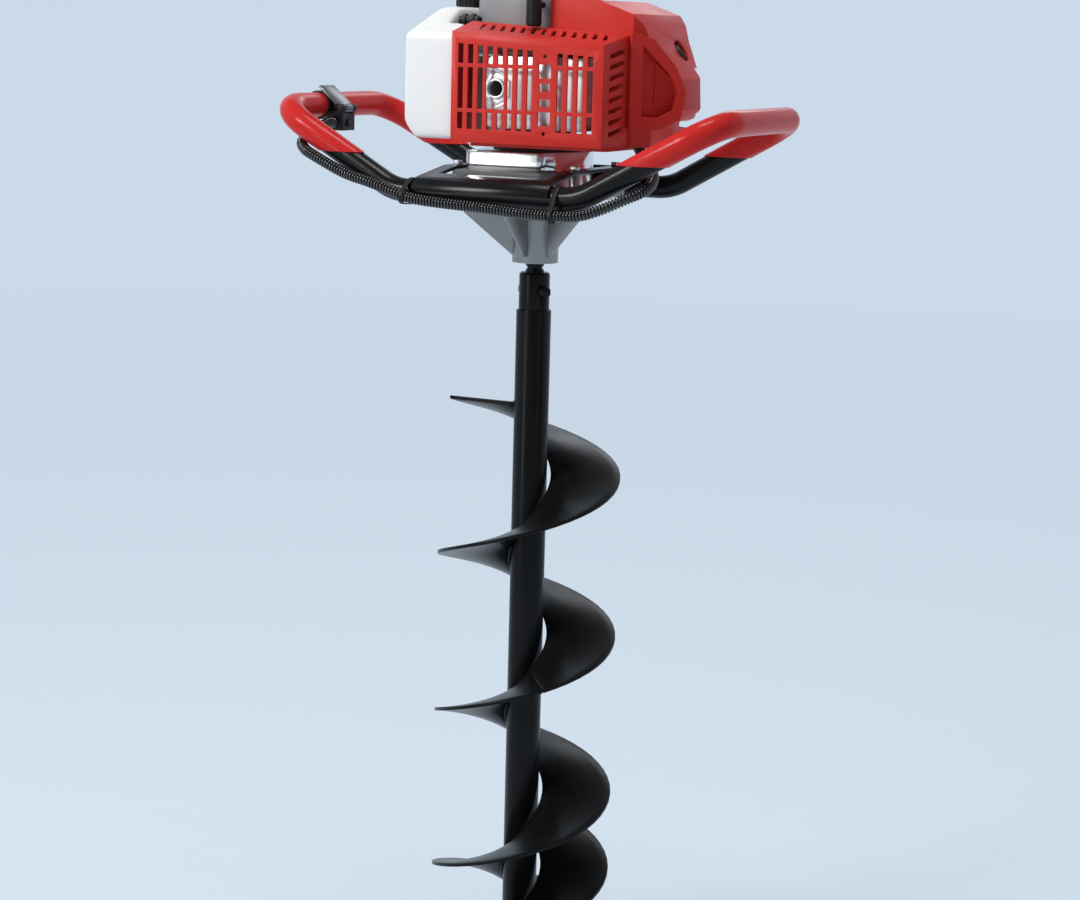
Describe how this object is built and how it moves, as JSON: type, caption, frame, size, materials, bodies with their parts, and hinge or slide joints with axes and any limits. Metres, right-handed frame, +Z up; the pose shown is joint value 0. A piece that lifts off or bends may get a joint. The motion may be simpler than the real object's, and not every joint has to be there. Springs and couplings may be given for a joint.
{
  "type": "earth_auger",
  "caption": "One-man petrol earth auger: slotted red muffler cover, white tank, polished gear case, looped handle frame with red grips and a long black spiral bit",
  "frame": {"origin": "the point of the bit, on the drive axis", "axes": "+Z up the drive axis, +X to the machine's right (cylinder side), -Y to the front (muffler side)"},
  "size_m": [0.5294, 0.3009, 1.106],
  "materials": {
    "bit_black": "gloss black paint on rolled and welded steel",
    "frame_black": "gloss black powder coat",
    "grip_red": "thick glossy dipped coating",
    "cover_red": "moulded glossy red",
    "polished_alloy": "turned and polished casting",
    "cast_alloy": "sand-textured casting",
    "dark_alloy": "dark grey painted casting",
    "steel": "ground steel",
    "silencer_steel": "pressed bright steel sheet",
    "black_plastic": "fine-grained moulding",
    "conduit_black": "extruded ribbed plastic",
    "rubber": "moulded rubber",
    "housing_grey": "moulded dark grey",
    "tank_white": "blow-moulded translucent white",
    "reel_white": "moulded nylon",
    "foam": "open-cell foam",
    "rope": "braided cord"
  },
  "bodies": {
    "frame": {"gear_case_upper": "polished_alloy", "gear_case_lower": "cast_alloy", "case_flange": "dark_alloy", "case_bolts": "steel", "ball_bearings": "steel", "output_seal": "rubber", "left_handle_tube": "frame_black", "right_handle_tube": "frame_black", "left_grip": "grip_red", "right_grip": "grip_red", "base_plate": "frame_black", "throttle_bracket": "black_plastic", "throttle_conduit": "conduit_black", "cable_ties": "black_plastic", "crankcase_lower": "cast_alloy", "crankcase_upper": "cast_alloy", "cylinder": "cast_alloy", "spark_plug": "steel", "plug_boot": "rubber", "clutch_housing": "dark_alloy", "ignition_coil": "black_plastic", "muffler": "silencer_steel", "muffler_cover": "cover_red", "engine_shroud": "cover_red", "lower_shroud": "cover_red", "fuel_tank": "tank_white", "fuel_hose": "rubber", "carburettor": "cast_alloy", "filter_element": "foam", "filter_cover": "black_plastic", "starter_housing": "housing_grey"},
    "bit": {"bit_tube": "bit_black", "bit_socket": "bit_black", "flight_upper": "bit_black", "flight_lower": "bit_black", "cutter_blades": "steel", "bit_bolts": "bit_black", "pilot_point": "steel", "output_shaft": "bit_black", "output_gear": "steel"},
    "layshaft": {"layshaft": "steel", "layshaft_gear": "steel"},
    "drum": {"input_shaft": "steel", "clutch_drum": "steel"},
    "crank": {"crankshaft": "steel", "flywheel": "cast_alloy"},
    "shoe_a": {"clutch_shoe_a": "steel"},
    "shoe_b": {"clutch_shoe_b": "steel"},
    "piston": {"piston": "polished_alloy", "wrist_pin": "steel"},
    "rod": {"connecting_rod": "steel"},
    "throttle_lever": {"throttle_lever": "steel"},
    "throttle_arm": {"throttle_arm": "steel"},
    "choke_lever": {"choke_lever": "black_plastic"},
    "stop_switch": {"stop_switch": "black_plastic"},
    "primer_bulb": {"primer_bulb": "rubber"},
    "fuel_cap": {"fuel_cap": "black_plastic"},
    "starter_reel": {"starter_reel": "reel_white"},
    "starter_handle": {"starter_handle": "black_plastic", "starter_rope": "rope"}
  },
  "joints": [
    {"name": "bit_spin", "type": "hinge", "parent": "frame", "child": "bit", "pos_m": [0, 0, 0.8], "axis": [0, 0, 1], "continuous": true},
    {"name": "layshaft_spin", "type": "hinge", "parent": "frame", "child": "layshaft", "pos_m": [0, -0.0375, 0.9], "axis": [0, 0, 1], "continuous": true},
    {"name": "drum_spin", "type": "hinge", "parent": "frame", "child": "drum", "pos_m": [0, 0, 0.93], "axis": [0, 0, 1], "continuous": true},
    {"name": "crank_spin", "type": "hinge", "parent": "frame", "child": "crank", "pos_m": [0, 0, 1], "axis": [0, 0, 1], "continuous": true},
    {"name": "shoe_a_slide", "type": "slide", "parent": "crank", "child": "shoe_a", "axis": [1, 0, 0], "range_m": [0, 0.0009], "stiffness_N_per_m": 400},
    {"name": "shoe_b_slide", "type": "slide", "parent": "crank", "child": "shoe_b", "axis": [-1, 0, 0], "range_m": [0, 0.0009], "stiffness_N_per_m": 400},
    {"name": "piston_slide", "type": "slide", "parent": "frame", "child": "piston", "axis": [1, 0, 0], "range_m": [-0.032, 0]},
    {"name": "rod_swing", "type": "hinge", "parent": "piston", "child": "rod", "pos_m": [0.086, 0, 1], "axis": [0, 0, 1], "range_deg": [-13, 13]},
    {"name": "throttle_push", "type": "hinge", "parent": "frame", "child": "throttle_lever", "pos_m": [-0.221, -0.024, 0.968], "axis": [0, 1, 0], "range_deg": [0, 35], "stiffness_Nm_per_rad": 0.4, "springref_deg": -28.65},
    {"name": "throttle_arm_turn", "type": "hinge", "parent": "frame", "child": "throttle_arm", "pos_m": [0.077, 0.062, 0.9775], "axis": [0, 0, 1], "range_deg": [-61, 0]},
    {"name": "choke_turn", "type": "hinge", "parent": "frame", "child": "choke_lever", "pos_m": [0.106, 0.082, 1.014], "axis": [0, -1, 0], "range_deg": [0, 55]},
    {"name": "stop_press", "type": "slide", "parent": "frame", "child": "stop_switch", "axis": [-1, 0, 0], "range_m": [0, 0.0015], "stiffness_N_per_m": 400},
    {"name": "primer_press", "type": "slide", "parent": "frame", "child": "primer_bulb", "axis": [0, 0, 1], "range_m": [0, 0.003], "stiffness_N_per_m": 400},
    {"name": "cap_turn", "type": "hinge", "parent": "frame", "child": "fuel_cap", "pos_m": [-0.09, 0.018, 1.088], "axis": [0, 0, 1], "range_deg": [0, 180]},
    {"name": "starter_pull", "type": "slide", "parent": "frame", "child": "starter_handle", "axis": [0, -1, 0], "range_m": [0, 0.6], "stiffness_N_per_m": 12, "springref_m": -0.2},
    {"name": "reel_spin", "type": "hinge", "parent": "frame", "child": "starter_reel", "pos_m": [0, 0, 1.084], "axis": [0, 0, 1], "range_deg": [-1260, 0]}
  ],
  "couplings": [
    {"joint": "layshaft_spin", "follows": "bit_spin", "ratio": -5},
    {"joint": "drum_spin", "follows": "bit_spin", "ratio": 25},
    {"joint": "shoe_b_slide", "follows": "shoe_a_slide", "ratio": 1},
    {"joint": "throttle_arm_turn", "follows": "throttle_push", "ratio": -1.7},
    {"joint": "reel_spin", "follows": "starter_pull", "rad_per_m": -35.714}
  ]
}
